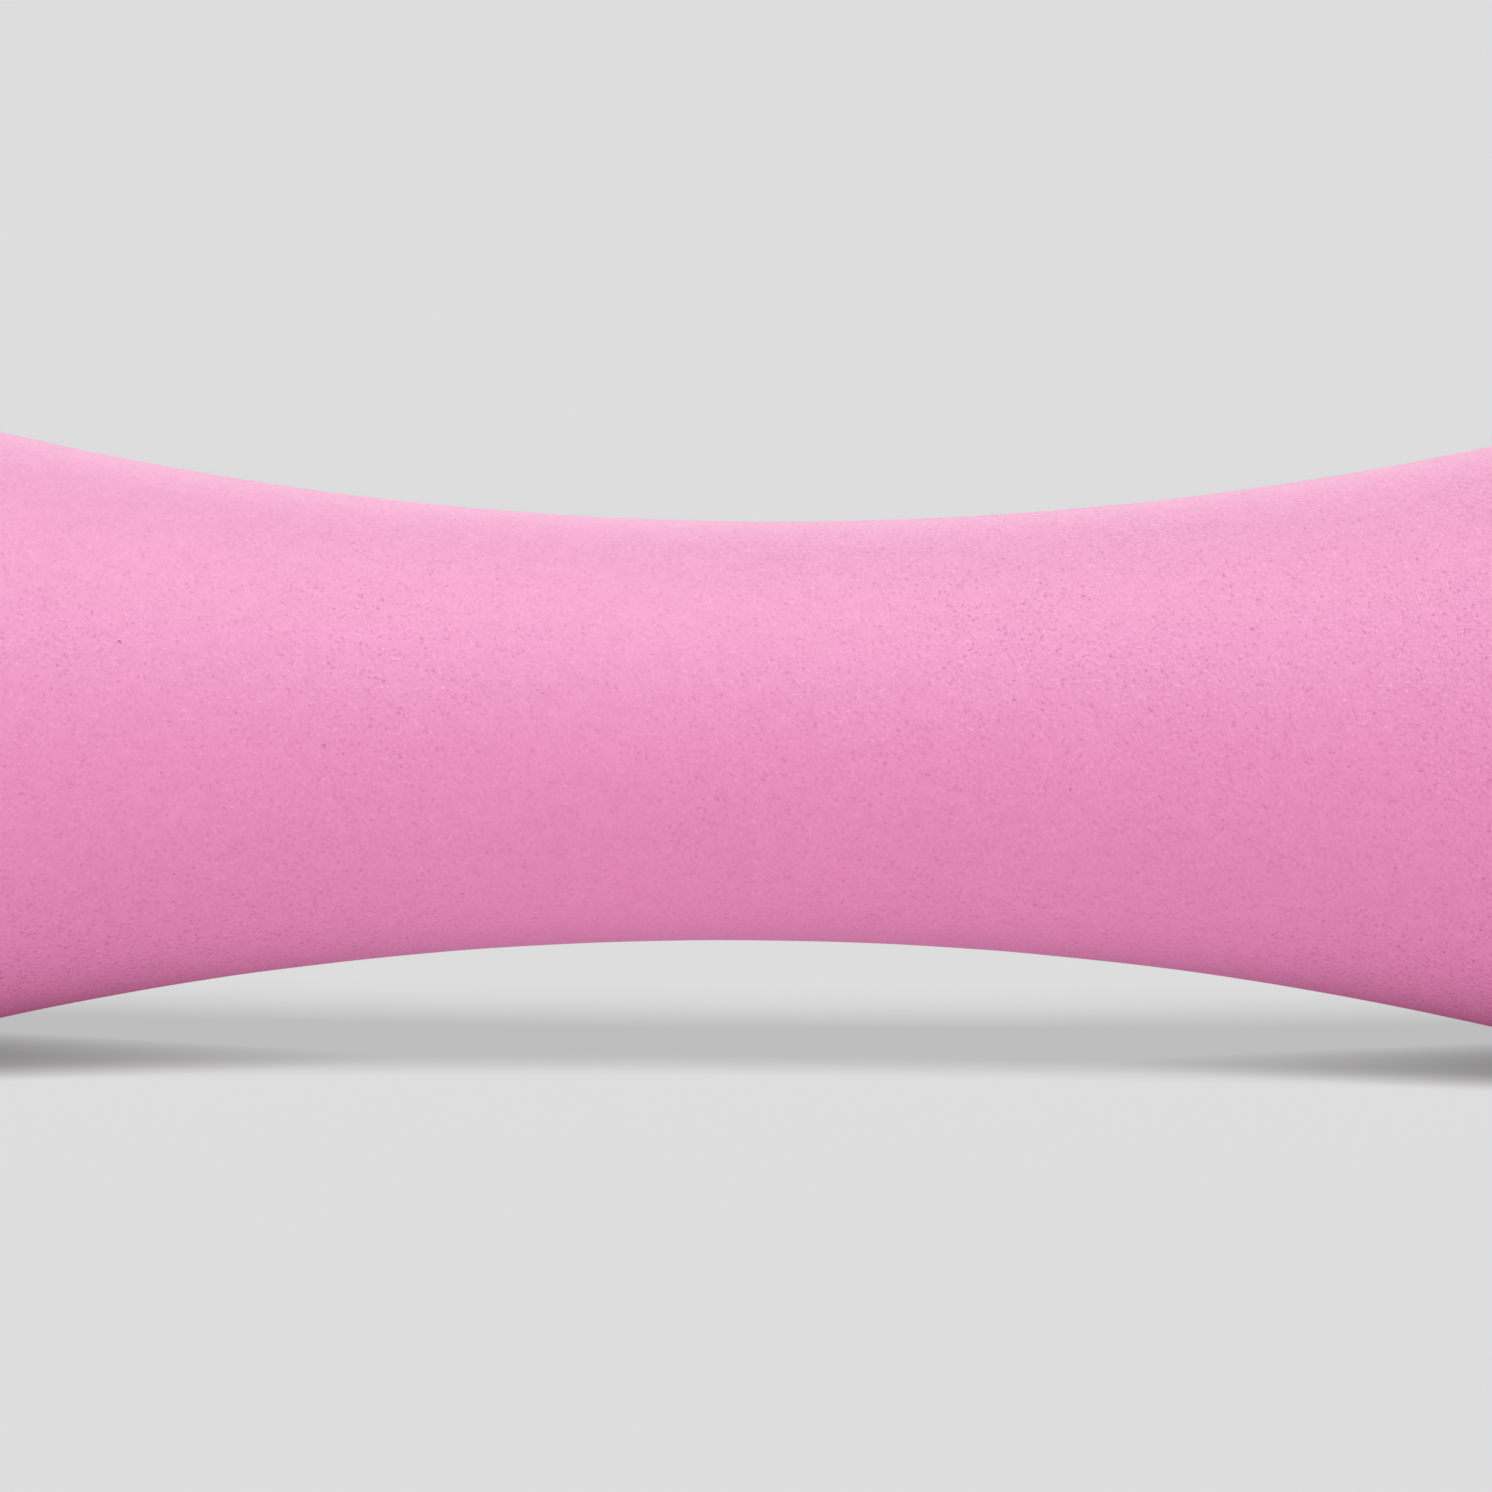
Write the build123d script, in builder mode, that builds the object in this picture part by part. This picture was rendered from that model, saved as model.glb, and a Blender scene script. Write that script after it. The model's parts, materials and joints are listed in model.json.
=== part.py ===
"""Waisted dumbbell: a one-piece iron casting sealed in a dipped vinyl coat.

The bar lies along X and rests on one flat of each head, at Z = 0. All sizes are in
millimetres. The sizes of the grip, heads and end faces are those of the coat's outer
skin. The casting is the same form, one coat thickness further in.
"""

import os
from math import acos, cos, pi, sin, sqrt

from build123d import *

# Grip: a turned waist whose flare is one arc
waist_diameter = 28.0
grip_arc_radius = 229.0

# Heads: rounded hexagons, so that the dumbbell doesn't roll
flat_count = 6
across_flats = 44.4
band_length = 5.9

# End faces: a plain land round a shallow dish
land_width = 4.4
dish_depth = 0.9
dish_corner_radius = 1.0

# Edges of the casting, before coating
core_corner_radius = 6.0
core_shoulder_radius = 4.0
core_rim_radius = 4.0
core_lip_radius = 0.8

# Vinyl
coat_thickness = 2.0

# The coat rounds each edge further, about the same centre
corner_radius = core_corner_radius + coat_thickness
shoulder_radius = core_shoulder_radius + coat_thickness
rim_radius = core_rim_radius + coat_thickness
lip_radius = core_lip_radius + coat_thickness

# Where the flare meets the heads, and what follows from it
axis_height = across_flats / 2
corner_reach = (axis_height - corner_radius) / cos(pi / flat_count) + corner_radius
grip_centre_radius = waist_diameter / 2 + grip_arc_radius
shoulder_x = sqrt(grip_arc_radius**2 - (grip_centre_radius - corner_reach) ** 2)
rim_x = shoulder_x + band_length
half_length = rim_x + rim_radius

# The dish wall is two arcs that meet at the angle its depth gives
lip_centre_radius = axis_height - rim_radius - land_width
dish_wall_turn = acos(1 - dish_depth / (lip_radius + dish_corner_radius))
dish_corner_centre = lip_centre_radius - (lip_radius + dish_corner_radius) * sin(dish_wall_turn)

# The profile is drawn a quarter flat off the vertical, so that the seam of the turned
# surface runs clear of the middles and ends of the flats
seam_turn = 90 / flat_count
bar_axis = Axis((0, 0, axis_height), (1, 0, 0))
upright_plane = Plane(bar_axis.position, x_dir=(1, 0, 0), z_dir=(0, -1, 0))
profile_plane = upright_plane.rotated((seam_turn, 0, 0))
section_plane = Plane(bar_axis.position, x_dir=(0, 0, -1), z_dir=(1, 0, 0))


def dumbbell_form(inset: float) -> Part:
    """The dumbbell's closed form, with its whole skin moved in by inset."""
    grip_radius = grip_arc_radius + inset
    lip = lip_radius - inset
    end_x = half_length - inset
    waist = (0, grip_centre_radius - grip_radius)
    flare_end = (rim_x, grip_centre_radius - sqrt(grip_radius**2 - rim_x**2))
    blank_corner = (end_x, flare_end[1])
    lip_start = (end_x, lip_centre_radius)
    wall_middle = (
        half_length - lip_radius + lip * cos(dish_wall_turn),
        lip_centre_radius - lip * sin(dish_wall_turn),
    )
    dish_edge = (end_x - dish_depth, dish_corner_centre)
    dish_middle = (end_x - dish_depth, 0)

    with BuildPart() as form:
        # Turned blank
        with BuildSketch(profile_plane):
            with BuildLine():
                TangentArc(waist, flare_end, tangent=(1, 0))
                Polyline(flare_end, blank_corner, lip_start)
                wall = TangentArc(lip_start, wall_middle, tangent=(0, -1))
                TangentArc(wall_middle, dish_edge, tangent=wall % 1)
                Polyline(dish_edge, dish_middle, (0, 0), waist)
            make_face()
            mirror(about=Plane.YZ)
        revolve(axis=bar_axis)

        # Flats and corners of the heads
        with BuildSketch(section_plane) as section:
            RegularPolygon(
                axis_height - inset, flat_count, major_radius=False, rotation=180 / flat_count
            )
            fillet(section.vertices(), corner_radius - inset)
        extrude(amount=half_length, both=True, mode=Mode.INTERSECT)

        # Rounded edges
        fillet(form.edges().filter_by(GeomType.BSPLINE), shoulder_radius - inset)
        lands = form.faces().filter_by(Axis.X).filter_by(lambda face: face.inner_wires())
        for land in lands:
            fillet(land.outer_wire().edges(), rim_radius - inset)
    return form.part


skin_form = dumbbell_form(0)
casting_form = dumbbell_form(coat_thickness)

with BuildPart() as iron_core:
    add(casting_form)
iron_core.part.label = "iron_core"

with BuildPart() as vinyl_coat:
    add(skin_form)
    add(casting_form, mode=Mode.SUBTRACT)
vinyl_coat.part.label = "vinyl_coat"

os.makedirs("parts", exist_ok=True)
for piece in (iron_core, vinyl_coat):
    export_step(piece.part, f"parts/{piece.part.label}.step")
    print(piece.part.label, "volume", round(piece.part.volume), "mm3")
print("overall", skin_form.bounding_box().size)
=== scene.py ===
"""Dresses a waisted dumbbell: a dipped vinyl coat over a one-piece iron casting.

The coat is grown by Geometry Nodes from the same rule as the solid: one turned arc for the
grip, rounded hexagons for the heads, rounded rims and a shallow dish in each end face. The
casting inside keeps its solid and gets a sand-cast finish. Everything is in metres, with the
bar along X and the flats that it rests on at Z = 0.
"""

import json
import logging
from dataclasses import dataclass
from enum import Enum
from math import acos, cos, pi, radians, sin, tan

import bpy
from mathutils import Matrix, Vector


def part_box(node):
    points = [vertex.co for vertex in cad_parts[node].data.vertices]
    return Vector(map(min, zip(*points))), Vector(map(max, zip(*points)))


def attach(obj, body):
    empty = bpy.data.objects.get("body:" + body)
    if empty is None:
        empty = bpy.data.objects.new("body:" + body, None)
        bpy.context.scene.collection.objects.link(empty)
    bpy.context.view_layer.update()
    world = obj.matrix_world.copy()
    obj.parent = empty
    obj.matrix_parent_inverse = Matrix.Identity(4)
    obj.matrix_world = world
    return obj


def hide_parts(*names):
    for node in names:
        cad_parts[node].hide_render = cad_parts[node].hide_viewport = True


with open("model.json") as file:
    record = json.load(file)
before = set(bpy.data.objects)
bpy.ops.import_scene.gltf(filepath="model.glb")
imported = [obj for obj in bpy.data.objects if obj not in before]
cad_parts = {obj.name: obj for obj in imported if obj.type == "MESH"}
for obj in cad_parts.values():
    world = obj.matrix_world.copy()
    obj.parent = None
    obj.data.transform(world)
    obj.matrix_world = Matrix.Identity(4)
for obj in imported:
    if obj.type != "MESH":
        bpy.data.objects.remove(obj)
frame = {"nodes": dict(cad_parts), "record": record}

log = logging.getLogger("dumbbell")

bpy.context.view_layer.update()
BODY = "root"
COAT_NODE = "vinyl_coat"
CORE_NODE = "iron_core"
VINYL_INPUT = "Vinyl"
MILLIMETRE = 0.001
WHITE = (1.0, 1.0, 1.0, 1.0)

# Heights in the materials are in metres, so a bump's own scale is 1
BUMP_DISTANCE = 1.0

Colour = tuple[float, float, float]
Tree = bpy.types.NodeTree
Socket = bpy.types.NodeSocket
Value = "Term | Socket | float"


def plug(tree: Tree, value: Value, socket: Socket) -> None:
    """Feeds a socket from a term, another socket or a plain value.

    Args:
        tree: The node tree that holds the socket.
        value: What the socket gets.
        socket: The input socket.
    """
    source = value.source if isinstance(value, Term) else value
    if isinstance(source, bpy.types.NodeSocket):
        tree.links.new(source, socket)
    else:
        socket.default_value = source


def add_node(
    tree: Tree, kind: str, settings: dict[str, str] | None = None, **inputs: Value
) -> bpy.types.Node:
    """Adds a node, with its settings and inputs.

    Args:
        tree: The node tree to add to.
        kind: Blender's name for the kind of node.
        settings: The node's own properties, by name.
        **inputs: What each input gets, by its name with underscores for spaces.

    Returns:
        The new node.
    """
    node = tree.nodes.new(kind)
    for name, value in (settings or {}).items():
        setattr(node, name, value)
    for name, value in inputs.items():
        plug(tree, value, node.inputs[name.replace("_", " ")])
    return node


@dataclass(frozen=True)
class Term:
    """A number in a node tree, whose arithmetic is written as Math nodes."""

    tree: Tree
    source: Socket | float

    def math(self, operation: str, *others: Value) -> "Term":
        """Applies one Math node.

        Args:
            operation: The Math node's operation.
            *others: The node's further inputs, after this term.

        Returns:
            The node's result.
        """
        node = self.tree.nodes.new("ShaderNodeMath")
        node.operation = operation
        for value, socket in zip((self, *others), node.inputs):
            plug(self.tree, value, socket)
        return Term(self.tree, node.outputs[0])

    def __add__(self, other: Value) -> "Term":
        """The sum of two terms."""
        return self.math("ADD", other)

    def __sub__(self, other: Value) -> "Term":
        """This term less another."""
        return self.math("SUBTRACT", other)

    def __rsub__(self, other: float) -> "Term":
        """A number less this term."""
        return Term(self.tree, other).math("SUBTRACT", self)

    def __mul__(self, other: Value) -> "Term":
        """The product of two terms."""
        return self.math("MULTIPLY", other)

    def __truediv__(self, other: Value) -> "Term":
        """This term divided by another."""
        return self.math("DIVIDE", other)

    def __rtruediv__(self, other: float) -> "Term":
        """A number divided by this term."""
        return Term(self.tree, other).math("DIVIDE", self)

    def sin(self) -> "Term":
        """The sine of this term."""
        return self.math("SINE")

    def cos(self) -> "Term":
        """The cosine of this term."""
        return self.math("COSINE")

    def root(self) -> "Term":
        """The square root of this term, or of zero if it is negative."""
        return self.at_least(0.0).math("SQRT")

    def at_least(self, other: Value) -> "Term":
        """The larger of two terms."""
        return self.math("MAXIMUM", other)

    def at_most(self, other: Value) -> "Term":
        """The smaller of two terms."""
        return self.math("MINIMUM", other)

    def swing(self) -> "Term":
        """This term, which runs from 0 to 1, as one from -1 to 1."""
        return self * 2.0 - 1.0


@dataclass(frozen=True)
class Form:
    """The dumbbell's finished sizes, outside the coat."""

    half_length: float
    apothem: float
    corner_radius: float
    waist_radius: float
    coat_thickness: float
    grip_arc_radius: float = 0.229
    rim_radius: float = 0.006
    land_width: float = 0.0044
    lip_radius: float = 0.0028
    dish_depth: float = 0.0009
    dish_corner_radius: float = 0.001
    shoulder_blend: float = 0.0012
    flat_count: int = 6

    @classmethod
    def from_frame(cls) -> "Form":
        """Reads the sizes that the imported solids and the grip's mount give.

        Returns:
            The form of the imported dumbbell.
        """
        low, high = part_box(COAT_NODE)
        core_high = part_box(CORE_NODE)[1]
        mounts = {mount["name"]: mount for mount in frame["record"]["mounts"]}
        apothem = (high.z - low.z) / 2
        slant = 1 / cos(pi / cls.flat_count)
        return cls(
            half_length=high.x,
            apothem=apothem,
            corner_radius=(apothem * slant - high.y) / (slant - 1),
            waist_radius=mounts["grip"]["dims"]["r_mm"] * MILLIMETRE,
            coat_thickness=high.x - core_high.x,
        )

    @property
    def rim_start(self) -> float:
        """How far from the middle the rim starts to round over."""
        return self.half_length - self.rim_radius

    @property
    def lip_centre(self) -> float:
        """The radius at which the end face starts to turn into the dish."""
        return self.apothem - self.rim_radius - self.land_width

    @property
    def dish_turn(self) -> float:
        """The steepest angle of the dish's wall."""
        return acos(1 - self.dish_depth / (self.lip_radius + self.dish_corner_radius))


@dataclass(frozen=True)
class VinylFinish:
    """Matte pink dip-moulding vinyl: a soft haze, a fine pebble grain and a few pinholes.

    A size is how far apart the marks of one kind are, and a depth is a share of the colour. The
    glint share is the white that the grain and the clouds add to the colour: painted glints and
    sheen. The grain's colour follows its height, lighter on the pebbles and darker in the pits:
    partly the vinyl's own fleck, partly painted light and shade. The grain is stronger in some
    patches.
    """

    colour: Colour = (0.782, 0.2625, 0.493)
    mottle_size: float = 0.012
    mottle_layers: float = 2.0
    mottle_depth: float = 0.02
    cloud_size: float = 0.0012
    cloud_depth: float = 0.012
    grain_size: float = 0.00027
    grain_depth: float = 0.125
    grain_height: float = 0.00013
    grain_sharpness: float = 0.8
    pit_share: float = 0.88
    painted_glint_share: float = 1.4
    patch_size: float = 0.028
    patch_swing: float = 0.8
    patch_seed: float = 239.5
    peel_size: float = 0.0011
    peel_height: float = 0.00003
    pinhole_spacing: float = 0.0026
    pinhole_radius: float = 0.00013
    pinhole_share: float = 0.22
    pinhole_shade: float = 0.86
    roughness: float = 0.65
    roughness_swing: float = 0.10
    specular_level: float = 0.75

    def material(self) -> bpy.types.Material:
        """Builds the material.

        Returns:
            The vinyl's material.
        """
        material = bpy.data.materials.new("pink_vinyl")
        material.use_nodes = True
        tree = material.node_tree
        shader = tree.nodes["Principled BSDF"]
        place = add_node(tree, "ShaderNodeTexCoord").outputs["Object"]
        mottle = self._noise(tree, place, self.mottle_size, self.mottle_layers).swing()
        cloud = self._noise(tree, place, self.cloud_size).swing()
        grain = self._noise(tree, place, self.grain_size).swing()
        peel = self._noise(tree, place, self.peel_size)
        patch = self._noise(tree, place, self.patch_size, seed=self.patch_seed).swing()
        pinhole = self._pinholes(tree, place)
        # The grain's colour follows its height: partly the vinyl's own fleck, partly painted light and
        # shade on the pebbles
        pebble = self._pebble(grain) * (patch * self.patch_swing + 1.0)
        fleck_and_painted_light = cloud * self.cloud_depth + pebble * self.grain_depth
        # Each pinhole darkens the colour: painted shade in the pit
        shade = mottle * self.mottle_depth + fleck_and_painted_light - pinhole * (1 - self.pinhole_shade) + 1.0
        pigment = add_node(tree, "ShaderNodeVectorMath", {"operation": "SCALE"}, Scale=shade)
        pigment.inputs[0].default_value = self.colour
        # Painted glints and sheen: the grain and the clouds add white to the colour
        tint = add_node(tree, "ShaderNodeVectorMath", {"operation": "ADD"})
        plug(tree, pigment.outputs[0], tint.inputs[0])
        plug(tree, fleck_and_painted_light * self.painted_glint_share, tint.inputs[1])
        height = (
            pebble * self.grain_height
            + peel * self.peel_height
            - pinhole * self.grain_height
        )
        bump = add_node(tree, "ShaderNodeBump", Height=height, Distance=BUMP_DISTANCE)
        roughness = grain * self.roughness_swing + self.roughness
        plug(tree, tint.outputs[0], shader.inputs["Base Color"])
        plug(tree, roughness, shader.inputs["Roughness"])
        plug(tree, bump.outputs[0], shader.inputs["Normal"])
        shader.inputs["Specular IOR Level"].default_value = self.specular_level
        return material

    @staticmethod
    def _noise(
        tree: Tree, place: Socket, size: float, layers: float = 1.0, seed: float | None = None
    ) -> Term:
        """A cloud of soft spots.

        Args:
            tree: The material's node tree.
            place: Where on the object the colour is looked up.
            size: How far apart the spots are.
            layers: How many finer layers are added.
            seed: Which of many such clouds it is, or none for the plain one.

        Returns:
            The cloud, from 0 to 1.
        """
        node = add_node(tree, "ShaderNodeTexNoise", Vector=place, Scale=1 / size, Detail=layers)
        if seed is not None:
            node.noise_dimensions = "4D"
            plug(tree, seed, node.inputs["W"])
        return Term(tree, node.outputs[0])

    def _pebble(self, grain: Term) -> Term:
        """Sharpens the grain into sparse pebbles, with weaker pits between them.

        Args:
            grain: The even grain, from -1 to 1.

        Returns:
            The pebbles, above 0, and the pits, below 0.
        """
        sharp = grain * grain.math("ABSOLUTE").math("POWER", self.grain_sharpness)
        return sharp.at_least(0.0) + sharp.at_most(0.0) * self.pit_share

    def _pinholes(self, tree: Tree, place: Socket) -> Term:
        """Small pinholes in a share of evenly spread cells, sunk by the bump and painted darker:
        painted shade in the pits.

        Args:
            tree: The material's node tree.
            place: Where on the object the colour is looked up.

        Returns:
            1 at the bottom of a pinhole, falling to 0 at its rim.
        """
        cells = add_node(tree, "ShaderNodeTexVoronoi", Vector=place, Scale=1 / self.pinhole_spacing)
        away = Term(tree, cells.outputs["Distance"]) * self.pinhole_spacing
        pick = add_node(tree, "ShaderNodeSeparateColor", Color=cells.outputs["Color"])
        chosen = Term(tree, pick.outputs[0]).math("LESS_THAN", self.pinhole_share)
        size = Term(tree, pick.outputs[1]) * self.pinhole_radius + self.pinhole_radius / 2
        return (1.0 - away / size).at_least(0.0) * chosen


@dataclass(frozen=True)
class CastIronFinish:
    """Dark sand-cast iron."""

    colour: Colour = (0.10, 0.10, 0.105)
    sand_size: float = 0.0006
    sand_height: float = 0.00006
    sand_depth: float = 0.35
    sand_layers: float = 4.0
    roughness: float = 0.75
    metallic: float = 1.0

    def material(self) -> bpy.types.Material:
        """Builds the material.

        Returns:
            The casting's material.
        """
        material = bpy.data.materials.new("sand_cast_iron")
        material.use_nodes = True
        tree = material.node_tree
        shader = tree.nodes["Principled BSDF"]
        place = add_node(tree, "ShaderNodeTexCoord").outputs["Object"]
        noise = add_node(
            tree, "ShaderNodeTexNoise", Vector=place, Scale=1 / self.sand_size, Detail=self.sand_layers
        )
        sand = Term(tree, noise.outputs[0])
        tint = add_node(
            tree,
            "ShaderNodeVectorMath",
            {"operation": "SCALE"},
            Scale=sand.swing() * self.sand_depth + 1.0,
        )
        tint.inputs[0].default_value = self.colour
        bump = add_node(tree, "ShaderNodeBump", Height=sand * self.sand_height, Distance=BUMP_DISTANCE)
        plug(tree, tint.outputs[0], shader.inputs["Base Color"])
        plug(tree, bump.outputs[0], shader.inputs["Normal"])
        shader.inputs["Roughness"].default_value = self.roughness
        shader.inputs["Metallic"].default_value = self.metallic
        return material


@dataclass(frozen=True)
class WallMesh:
    """How finely one wall of the coat is meshed."""

    rows: int
    columns: int
    grip_share: float = 0.52


@dataclass(frozen=True)
class VinylCoat:
    """The dipped coat: an outer skin and, one thickness in, the wall against the casting."""

    form: Form
    finish: VinylFinish = VinylFinish()
    outer_mesh: WallMesh = WallMesh(rows=357, columns=217)
    inner_mesh: WallMesh = WallMesh(rows=121, columns=73)
    sag_size: float = 0.009
    sag_layers: float = 1.0
    sag_height: float = 0.00004
    seed: float = 4.0
    weld_gap: float = 0.000002

    def build(self) -> bpy.types.Object:
        """Grows the coat and puts it in place of its solid.

        Returns:
            The coat as a plain mesh object.
        """
        inputs = self._inputs()
        tree, sockets = self._tree(inputs)
        carrier = bpy.data.objects.new("coat_carrier", bpy.data.meshes.new("coat_carrier"))
        bpy.context.scene.collection.objects.link(carrier)
        modifier = carrier.modifiers.new("coat", "NODES")
        modifier.node_group = tree
        for name, value in inputs.items():
            modifier[sockets[name]] = value
        evaluated = carrier.evaluated_get(bpy.context.evaluated_depsgraph_get())
        mesh = bpy.data.meshes.new_from_object(evaluated)
        carrier.modifiers.remove(modifier)
        bpy.data.objects.remove(carrier)
        # The carrier's own material slot is empty, so it goes
        mesh.materials.pop(index=mesh.materials.values().index(None))
        mesh.name = "vinyl_skin"
        skin = bpy.data.objects.new("vinyl_skin", mesh)
        bpy.context.scene.collection.objects.link(skin)
        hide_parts(COAT_NODE)
        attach(skin, BODY)
        return skin

    def _inputs(self) -> dict[str, float | bpy.types.Material]:
        """Gathers the sizes and the material that the tree takes.

        Returns:
            What each input gets, by its name.
        """
        form = self.form
        return {
            "Waist Radius": form.waist_radius,
            "Grip Arc Radius": form.grip_arc_radius,
            "Apothem": form.apothem,
            "Corner Radius": form.corner_radius,
            "Shoulder Blend": form.shoulder_blend,
            "Rim Start": form.rim_start,
            "Rim Radius": form.rim_radius,
            "Lip Centre": form.lip_centre,
            "Lip Radius": form.lip_radius,
            "Dish Corner Radius": form.dish_corner_radius,
            "Dish Turn": form.dish_turn,
            "Coat Thickness": form.coat_thickness,
            "Sag Size": self.sag_size,
            "Sag Height": self.sag_height,
            "Seed": self.seed,
            VINYL_INPUT: self.finish.material(),
        }

    def _tree(self, inputs: dict[str, float | bpy.types.Material]) -> tuple[Tree, dict[str, str]]:
        """Builds the node tree that grows the coat.

        Args:
            inputs: What the tree takes, by the names of its inputs.

        Returns:
            The tree, and each named input's identifier.
        """
        tree = bpy.data.node_groups.new("vinyl_coat", "GeometryNodeTree")
        sockets = {}
        for name in inputs:
            kind = "NodeSocketMaterial" if name == VINYL_INPUT else "NodeSocketFloat"
            sockets[name] = tree.interface.new_socket(name, in_out="INPUT", socket_type=kind).identifier
        tree.interface.new_socket("Coat", in_out="OUTPUT", socket_type="NodeSocketGeometry")
        given = tree.nodes.new("NodeGroupInput")
        sizes = {name: Term(tree, given.outputs[name]) for name in sockets if name != VINYL_INPUT}

        outer = self._sagged(tree, sizes, self._wall(tree, sizes, Term(tree, 0.0), self.outer_mesh))
        inner = self._wall(tree, sizes, sizes["Coat Thickness"], self.inner_mesh)
        inner = add_node(tree, "GeometryNodeFlipFaces", Mesh=inner).outputs[0]
        both = tree.nodes.new("GeometryNodeJoinGeometry")
        for wall in (outer, inner):
            tree.links.new(wall, both.inputs[0])
        smooth = add_node(tree, "GeometryNodeSetShadeSmooth", Geometry=both.outputs[0])
        real = add_node(tree, "GeometryNodeRealizeInstances", Geometry=smooth.outputs[0])
        painted = add_node(
            tree,
            "GeometryNodeSetMaterial",
            Geometry=real.outputs[0],
            Material=given.outputs[VINYL_INPUT],
        )
        result = tree.nodes.new("NodeGroupOutput")
        tree.links.new(painted.outputs[0], result.inputs[0])
        return tree, sockets

    def _wall(self, tree: Tree, sizes: dict[str, Term], inset: Term, mesh: WallMesh) -> Socket:
        """One closed wall of the coat, every part of it moved in by the same inset.

        Args:
            tree: The tree to add to.
            sizes: The tree's named inputs.
            inset: How far inside the finished skin the wall lies.
            mesh: How finely the wall is meshed.

        Returns:
            The wall's geometry.
        """
        # The grid's X runs from -1 to 1, from one end over the waist to the other, and Y once round
        grid = add_node(
            tree,
            "GeometryNodeMeshGrid",
            Size_X=2.0,
            Size_Y=2 * pi,
            Vertices_X=mesh.rows,
            Vertices_Y=mesh.columns,
        )
        here = tree.nodes.new("GeometryNodeInputPosition")
        spot = add_node(tree, "ShaderNodeSeparateXYZ", Vector=here.outputs[0])
        share, angle = (Term(tree, output) for output in spot.outputs[:2])
        along, level = self._profile(tree, sizes, inset, share.math("ABSOLUTE"), mesh.grip_share)
        across = self._section(tree, sizes, along, level, inset, angle)
        place = add_node(
            tree,
            "ShaderNodeCombineXYZ",
            X=along * share.math("SIGN"),
            Y=across * angle.sin(),
            Z=across * angle.cos() + sizes["Apothem"],
        )
        moved = add_node(
            tree, "GeometryNodeSetPosition", Geometry=grid.outputs[0], Position=place.outputs[0]
        )
        weld = add_node(
            tree, "GeometryNodeMergeByDistance", Geometry=moved.outputs[0], Distance=self.weld_gap
        )
        return weld.outputs[0]

    @staticmethod
    def _profile(
        tree: Tree, sizes: dict[str, Term], inset: Term, share: Term, grip_share: float
    ) -> tuple[Term, Term]:
        """Follows the outline from the waist over the rim to the middle of the end face.

        Args:
            tree: The tree to add to.
            sizes: The tree's named inputs.
            inset: How far inside the finished skin the wall lies.
            share: How far along the outline, from 0 at the waist to 1 at the end's middle.
            grip_share: The share of the outline that the grip and the flats take.

        Returns:
            The place along the bar, and the distance of the head's flats from its axis.
        """
        rim = sizes["Rim Radius"] - inset
        lip = sizes["Lip Radius"] - inset
        toe = sizes["Dish Corner Radius"] + inset
        turn = sizes["Dish Turn"]
        land_start = sizes["Apothem"] - sizes["Rim Radius"]
        toe_end = sizes["Lip Centre"] - (lip + toe) * turn.sin()
        lengths = [rim * (pi / 2), land_start - sizes["Lip Centre"], lip * turn, toe * turn, toe_end]

        side = (share / grip_share).at_most(1.0) * sizes["Rim Start"]
        total = lengths[0]
        for length in lengths[1:]:
            total = total + length
        left = ((share - grip_share) / (1 - grip_share)).at_least(0.0) * total
        runs = []
        for length in lengths:
            runs.append(left.at_most(length))
            left = (left - length).at_least(0.0)
        rim_run, land_run, lip_run, toe_run, floor_run = runs

        rim_angle = rim_run / rim
        lip_angle = lip_run / lip
        toe_angle = turn - toe_run / toe
        along = (
            side
            + rim * rim_angle.sin()
            - lip * (1.0 - lip_angle.cos())
            - toe * (toe_angle.cos() - turn.cos())
        )
        level = (
            sizes["Apothem"]
            - inset
            - rim * (1.0 - rim_angle.cos())
            - land_run
            - lip * lip_angle.sin()
            - toe * (turn.sin() - toe_angle.sin())
            - floor_run
        )
        return along, level

    def _section(
        self, tree: Tree, sizes: dict[str, Term], along: Term, level: Term, inset: Term, angle: Term
    ) -> Term:
        """The wall's distance from the axis: a rounded hexagon, trimmed by the turned grip.

        Args:
            tree: The tree to add to.
            sizes: The tree's named inputs.
            along: The place along the bar.
            level: The distance of the flats from the axis.
            inset: How far inside the finished skin the wall lies.
            angle: The angle about the axis, from the top flat.

        Returns:
            The distance from the axis.
        """
        half_flat = pi / self.form.flat_count
        land_start = sizes["Apothem"] - sizes["Rim Radius"]
        squareness = ((level - sizes["Lip Centre"]) / (land_start - sizes["Lip Centre"])).at_least(0.0)
        heart = (sizes["Apothem"] - sizes["Corner Radius"]) * squareness.at_most(1.0)
        off_flat = angle.math("PINGPONG", half_flat)
        off_corner = half_flat - off_flat
        reach = heart / cos(half_flat)
        corner = level - heart
        aside = reach * off_corner.sin()
        on_corner = reach * off_corner.cos() + (corner * corner - aside * aside).root()
        on_flat = level / off_flat.cos()
        past_flat = (level * off_flat.math("TANGENT")).math("GREATER_THAN", heart * tan(half_flat))
        pick = add_node(tree, "GeometryNodeSwitch", {"input_type": "FLOAT"}, Switch=past_flat)
        plug(tree, on_flat, pick.inputs["False"])
        plug(tree, on_corner, pick.inputs["True"])
        hexagon = Term(tree, pick.outputs[0])
        arc = sizes["Grip Arc Radius"] + inset
        turned = sizes["Waist Radius"] + sizes["Grip Arc Radius"] - (arc * arc - along * along).root()
        return hexagon.math("SMOOTH_MIN", turned, sizes["Shoulder Blend"])

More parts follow.
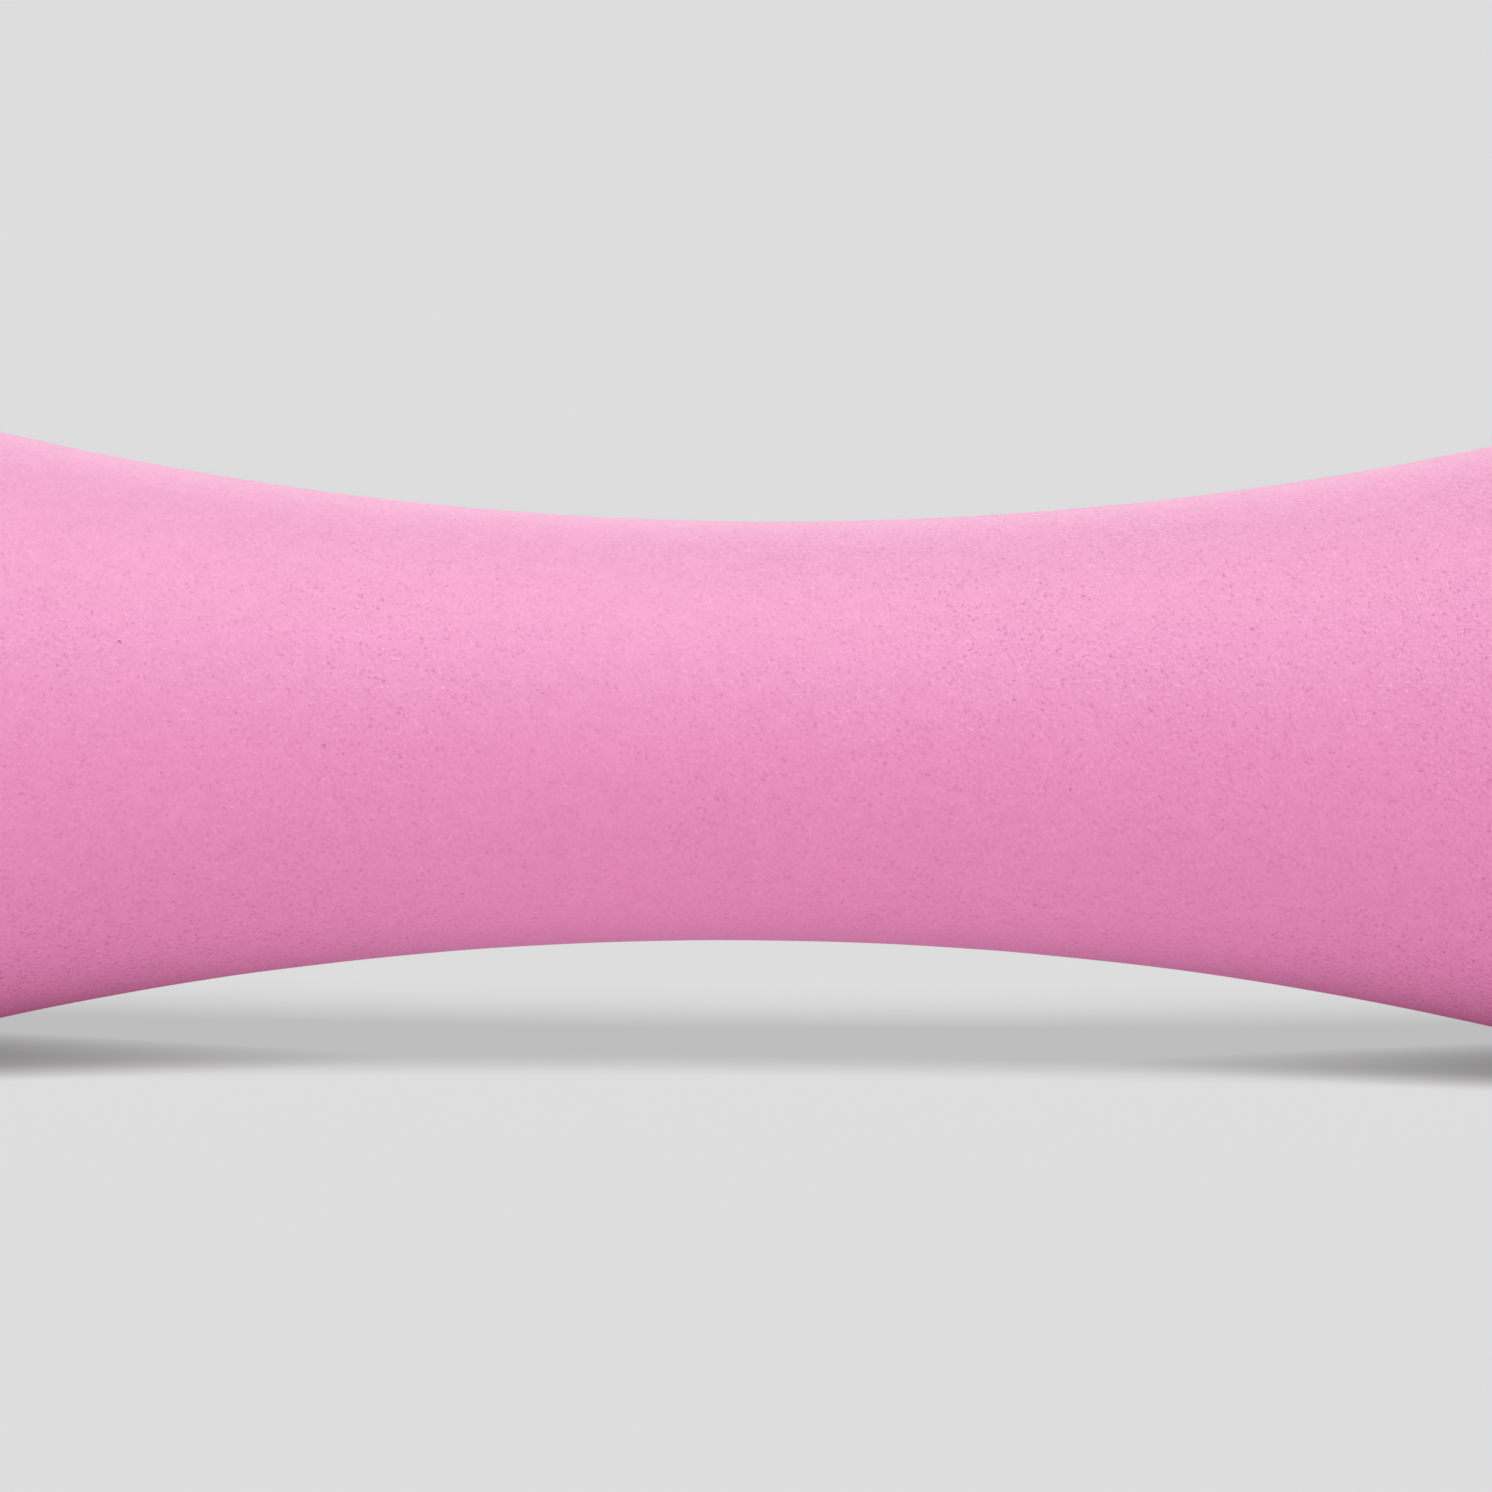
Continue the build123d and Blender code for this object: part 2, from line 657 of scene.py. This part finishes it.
    def _sagged(self, tree: Tree, sizes: dict[str, Term], wall: Socket) -> Socket:
        """Lets the skin swell and sag a little, as a dipped coat does while it sets.

        Args:
            tree: The tree to add to.
            sizes: The tree's named inputs.
            wall: The even skin.

        Returns:
            The uneven skin.
        """
        noise = add_node(
            tree,
            "ShaderNodeTexNoise",
            {"noise_dimensions": "4D"},
            W=sizes["Seed"],
            Scale=1.0 / sizes["Sag Size"],
            Detail=self.sag_layers,
        )
        rise = Term(tree, noise.outputs[0]).swing() * sizes["Sag Height"]
        normal = tree.nodes.new("GeometryNodeInputNormal")
        offset = add_node(
            tree, "ShaderNodeVectorMath", {"operation": "SCALE"}, Vector=normal.outputs[0], Scale=rise
        )
        moved = add_node(tree, "GeometryNodeSetPosition", Geometry=wall, Offset=offset.outputs[0])
        return moved.outputs[0]


@dataclass(frozen=True)
class IronCore:
    """The casting, which keeps its solid."""

    finish: CastIronFinish = CastIronFinish()

    def dress(self) -> bpy.types.Object:
        """Gives the casting its finish.

        Returns:
            The casting's object.
        """
        core = frame["nodes"][CORE_NODE]
        core.data.materials.clear()
        core.data.materials.append(self.finish.material())
        return core


class Tint(Enum):
    """The colour of a lamp's light."""

    NEUTRAL = (1.0, 1.0, 1.0)
    COOL = (0.91, 1.14, 1.0)
    WARM = (1.09, 0.855, 1.0)


class Lit(Enum):
    """What a lamp shines on."""

    DUMBBELL = "dumbbell"
    FLOOR = "floor"


@dataclass(frozen=True)
class Softbox:
    """A large far lamp, tilted off the vertical towards the camera and turned aside to the right.

    Angles are in degrees. A strength of 1 lights a white wall that faces the lamp to full white.
    """

    name: str
    lit: Lit
    tilt: float
    strength: float
    aside: float = 0.0
    spread: float = 30.0
    tint: Tint = Tint.NEUTRAL

    def build(self, receivers: bpy.types.Collection) -> None:
        """Hangs the lamp.

        Args:
            receivers: The objects that it lights.
        """
        data = bpy.data.lights.new(self.name, "SUN")
        data.energy = self.strength * pi
        data.angle = radians(self.spread)
        data.color = self.tint.value
        lamp = bpy.data.objects.new(self.name, data)
        tilt = radians(self.tilt)
        aside = radians(self.aside)
        shining = Vector((-sin(aside), sin(tilt) * cos(aside), -cos(tilt) * cos(aside)))
        lamp.rotation_mode = "QUATERNION"
        lamp.rotation_quaternion = shining.to_track_quat("-Z", "Y")
        bpy.context.scene.collection.objects.link(lamp)
        lamp.light_linking.receiver_collection = receivers


@dataclass(frozen=True)
class Studio:
    """A plain pale floor, soft light and the camera.

    The glow is what the picture shows of the floor's own light, and within the contact shadow's
    reach of the dumbbell it is darkened: a painted contact shadow. The bounce is the glow that the
    floor throws up on the dumbbell, with a reach of its own; near the dumbbell it is dimmed and
    tinted pink, a painted shade and a painted pink bounce. Angles are in degrees.
    """

    form: Form
    floor_radiance: float = 0.723
    floor_glow: float = 0.509
    floor_albedo: float = 0.04
    contact_shadow_reach: float = 0.007
    contact_shadow_depth: float = 0.60
    bounce_glow: Colour = (0.767, 0.624, 0.73)
    bounce_reach: float = 0.015
    bounce_depth: Colour = (0.80, 0.98, 0.92)
    floor_size: float = 24.0
    floor_gap: float = 0.00008
    sky_radiance: float = 0.1
    image_side: float = 1492.0
    waist_pixel: tuple[float, float] = (752.0, 730.8)
    pixels_per_metre: float = 14955.0
    camera_distance: float = 0.8
    camera_elevation: float = 5.0
    camera_roll: float = 0.41
    camera_clip_ratio: float = 100.0
    sensor: float = 36.0
    softboxes: tuple[Softbox, ...] = (
        Softbox("top_box", Lit.DUMBBELL, tilt=0.0, strength=0.404, tint=Tint.COOL),
        Softbox("key_box", Lit.DUMBBELL, tilt=30.0, strength=0.463, tint=Tint.COOL),
        Softbox("front_box", Lit.DUMBBELL, tilt=90.0, strength=0.425, tint=Tint.WARM),
        Softbox("back_box", Lit.DUMBBELL, tilt=-60.0, strength=0.287),
        Softbox("side_box", Lit.DUMBBELL, tilt=20.0, strength=0.143, aside=45.0, tint=Tint.COOL),
        Softbox("end_box", Lit.DUMBBELL, tilt=0.0, strength=0.15, aside=-90.0),
        Softbox("floor_box", Lit.FLOOR, tilt=32.0, strength=6.2, spread=36.0),
    )

    def build(self, pieces: list[bpy.types.Object]) -> None:
        """Sets up the floor, the lamps and the camera.

        Args:
            pieces: The objects that the dumbbell's own lamps light.
        """
        floor = self._floor()
        lit = {Lit.DUMBBELL: pieces, Lit.FLOOR: [floor]}
        for softbox in self.softboxes:
            receivers = bpy.data.collections.new(softbox.name + "_lights")
            for piece in lit[softbox.lit]:
                receivers.objects.link(piece)
            softbox.build(receivers)
        self._sky()
        self._camera()
        bpy.context.scene.view_settings.view_transform = "Standard"

    def _floor(self) -> bpy.types.Object:
        """Lays the floor just under the flats.

        Returns:
            The floor's object.
        """
        half = self.floor_size / 2
        corners = [(-half, -half), (half, -half), (half, half), (-half, half)]
        mesh = bpy.data.meshes.new("floor")
        mesh.from_pydata([(x, y, -self.floor_gap) for x, y in corners], [], [(0, 1, 2, 3)])
        mesh.materials.append(self._floor_material())
        floor = bpy.data.objects.new("floor", mesh)
        bpy.context.scene.collection.objects.link(floor)
        return floor

    def _floor_material(self) -> bpy.types.Material:
        """A softly glowing matt floor, clear from below.

        Near the dumbbell its glow is darkened: a painted contact shadow where it is seen, and
        painted shade in the light that it throws up, least of the colours that the dumbbell
        itself swallows, which paints a pink bounce.

        Returns:
            The floor's material.
        """
        material = bpy.data.materials.new("pale_floor")
        material.use_nodes = True
        tree = material.node_tree
        tree.nodes.clear()
        albedo = (self.floor_albedo,) * 3 + (1.0,)
        matt = add_node(tree, "ShaderNodeBsdfDiffuse", Color=albedo)
        # Painted contact shadow: the floor's glow is darkened where the dumbbell is close
        reach = self._by_sight(tree, self.contact_shadow_reach, self.bounce_reach)
        nearness = add_node(tree, "ShaderNodeAmbientOcclusion", Distance=reach)
        closeness = 1.0 - Term(tree, nearness.outputs["AO"])
        shares = []
        # The thrown light is dimmed and tinted per colour near the dumbbell: painted shade and a
        # painted pink bounce
        for thrown, depth in zip(self.bounce_glow, self.bounce_depth):
            openness = 1.0 - closeness * self._by_sight(tree, self.contact_shadow_depth, depth)
            shares.append(openness * self._by_sight(tree, self.floor_glow, thrown))
        red, green, blue = shares
        light = add_node(tree, "ShaderNodeCombineColor", Red=red, Green=green, Blue=blue)
        glow = add_node(tree, "ShaderNodeEmission", Color=light.outputs[0])
        top = tree.nodes.new("ShaderNodeAddShader")
        plug(tree, matt.outputs[0], top.inputs[0])
        plug(tree, glow.outputs[0], top.inputs[1])
        clear = tree.nodes.new("ShaderNodeBsdfTransparent")
        side = tree.nodes.new("ShaderNodeNewGeometry").outputs["Backfacing"]
        mix = add_node(tree, "ShaderNodeMixShader", Fac=side)
        plug(tree, top.outputs[0], mix.inputs[1])
        plug(tree, clear.outputs[0], mix.inputs[2])
        result = tree.nodes.new("ShaderNodeOutputMaterial")
        plug(tree, mix.outputs[0], result.inputs["Surface"])
        return material

    @staticmethod
    def _by_sight(tree: Tree, shown: float, thrown: float) -> Term:
        """Tells what the picture shows of the stage from the light that it throws on the dumbbell.

        Args:
            tree: The material's or the world's node tree.
            shown: The value in the picture.
            thrown: The value for the light.

        Returns:
            Whichever value holds.
        """
        seen = add_node(tree, "ShaderNodeLightPath").outputs["Is Camera Ray"]
        return Term(tree, seen) * (shown - thrown) + thrown

    def _sky(self) -> None:
        """Lights the scene evenly all round, and shows the floor's own tone behind it."""
        world = bpy.data.worlds.new("studio")
        world.use_nodes = True
        tree = world.node_tree
        level = self._by_sight(tree, self.floor_radiance, self.sky_radiance)
        background = tree.nodes["Background"]
        background.inputs["Color"].default_value = WHITE
        plug(tree, level, background.inputs["Strength"])
        bpy.context.scene.world = world

    def _camera(self) -> None:
        """Sets the camera where the photograph was taken from."""
        elevation = radians(self.camera_elevation)
        back = Vector((0, -cos(elevation), sin(elevation)))
        level_right = Vector((1, 0, 0))
        level_up = back.cross(level_right)
        roll = radians(self.camera_roll)
        right = level_right * cos(roll) + level_up * sin(roll)
        up = level_up * cos(roll) - level_right * sin(roll)
        aside, down = (pixel - self.image_side / 2 for pixel in self.waist_pixel)
        waist = Vector((0, 0, self.form.apothem))
        aim = waist - right * (aside / self.pixels_per_metre) + up * (down / self.pixels_per_metre)

        data = bpy.data.cameras.new("camera")
        data.sensor_width = self.sensor
        data.lens = self.sensor * self.camera_distance * self.pixels_per_metre / self.image_side
        data.clip_start = self.camera_distance / self.camera_clip_ratio
        data.clip_end = self.camera_distance * self.camera_clip_ratio
        camera = bpy.data.objects.new("camera", data)
        turn = Matrix((right, up, back)).transposed().to_4x4()
        camera.matrix_world = Matrix.Translation(aim + back * self.camera_distance) @ turn
        bpy.context.scene.collection.objects.link(camera)
        bpy.context.scene.camera = camera


def main() -> None:
    """Builds the dumbbell's pieces, then the studio round them, and reports each."""
    logging.basicConfig(level=logging.INFO, format="%(name)s: %(message)s")
    form = Form.from_frame()
    skin = VinylCoat(form).build()
    core = IronCore().dress()
    for piece in (skin, core):
        log.info("%s: %d faces", piece.name, len(piece.data.polygons))
    studio = Studio(form)
    studio.build([skin, core])
    log.info("studio: %d lamps", len(studio.softboxes))


if __name__ == "__main__":
    main()
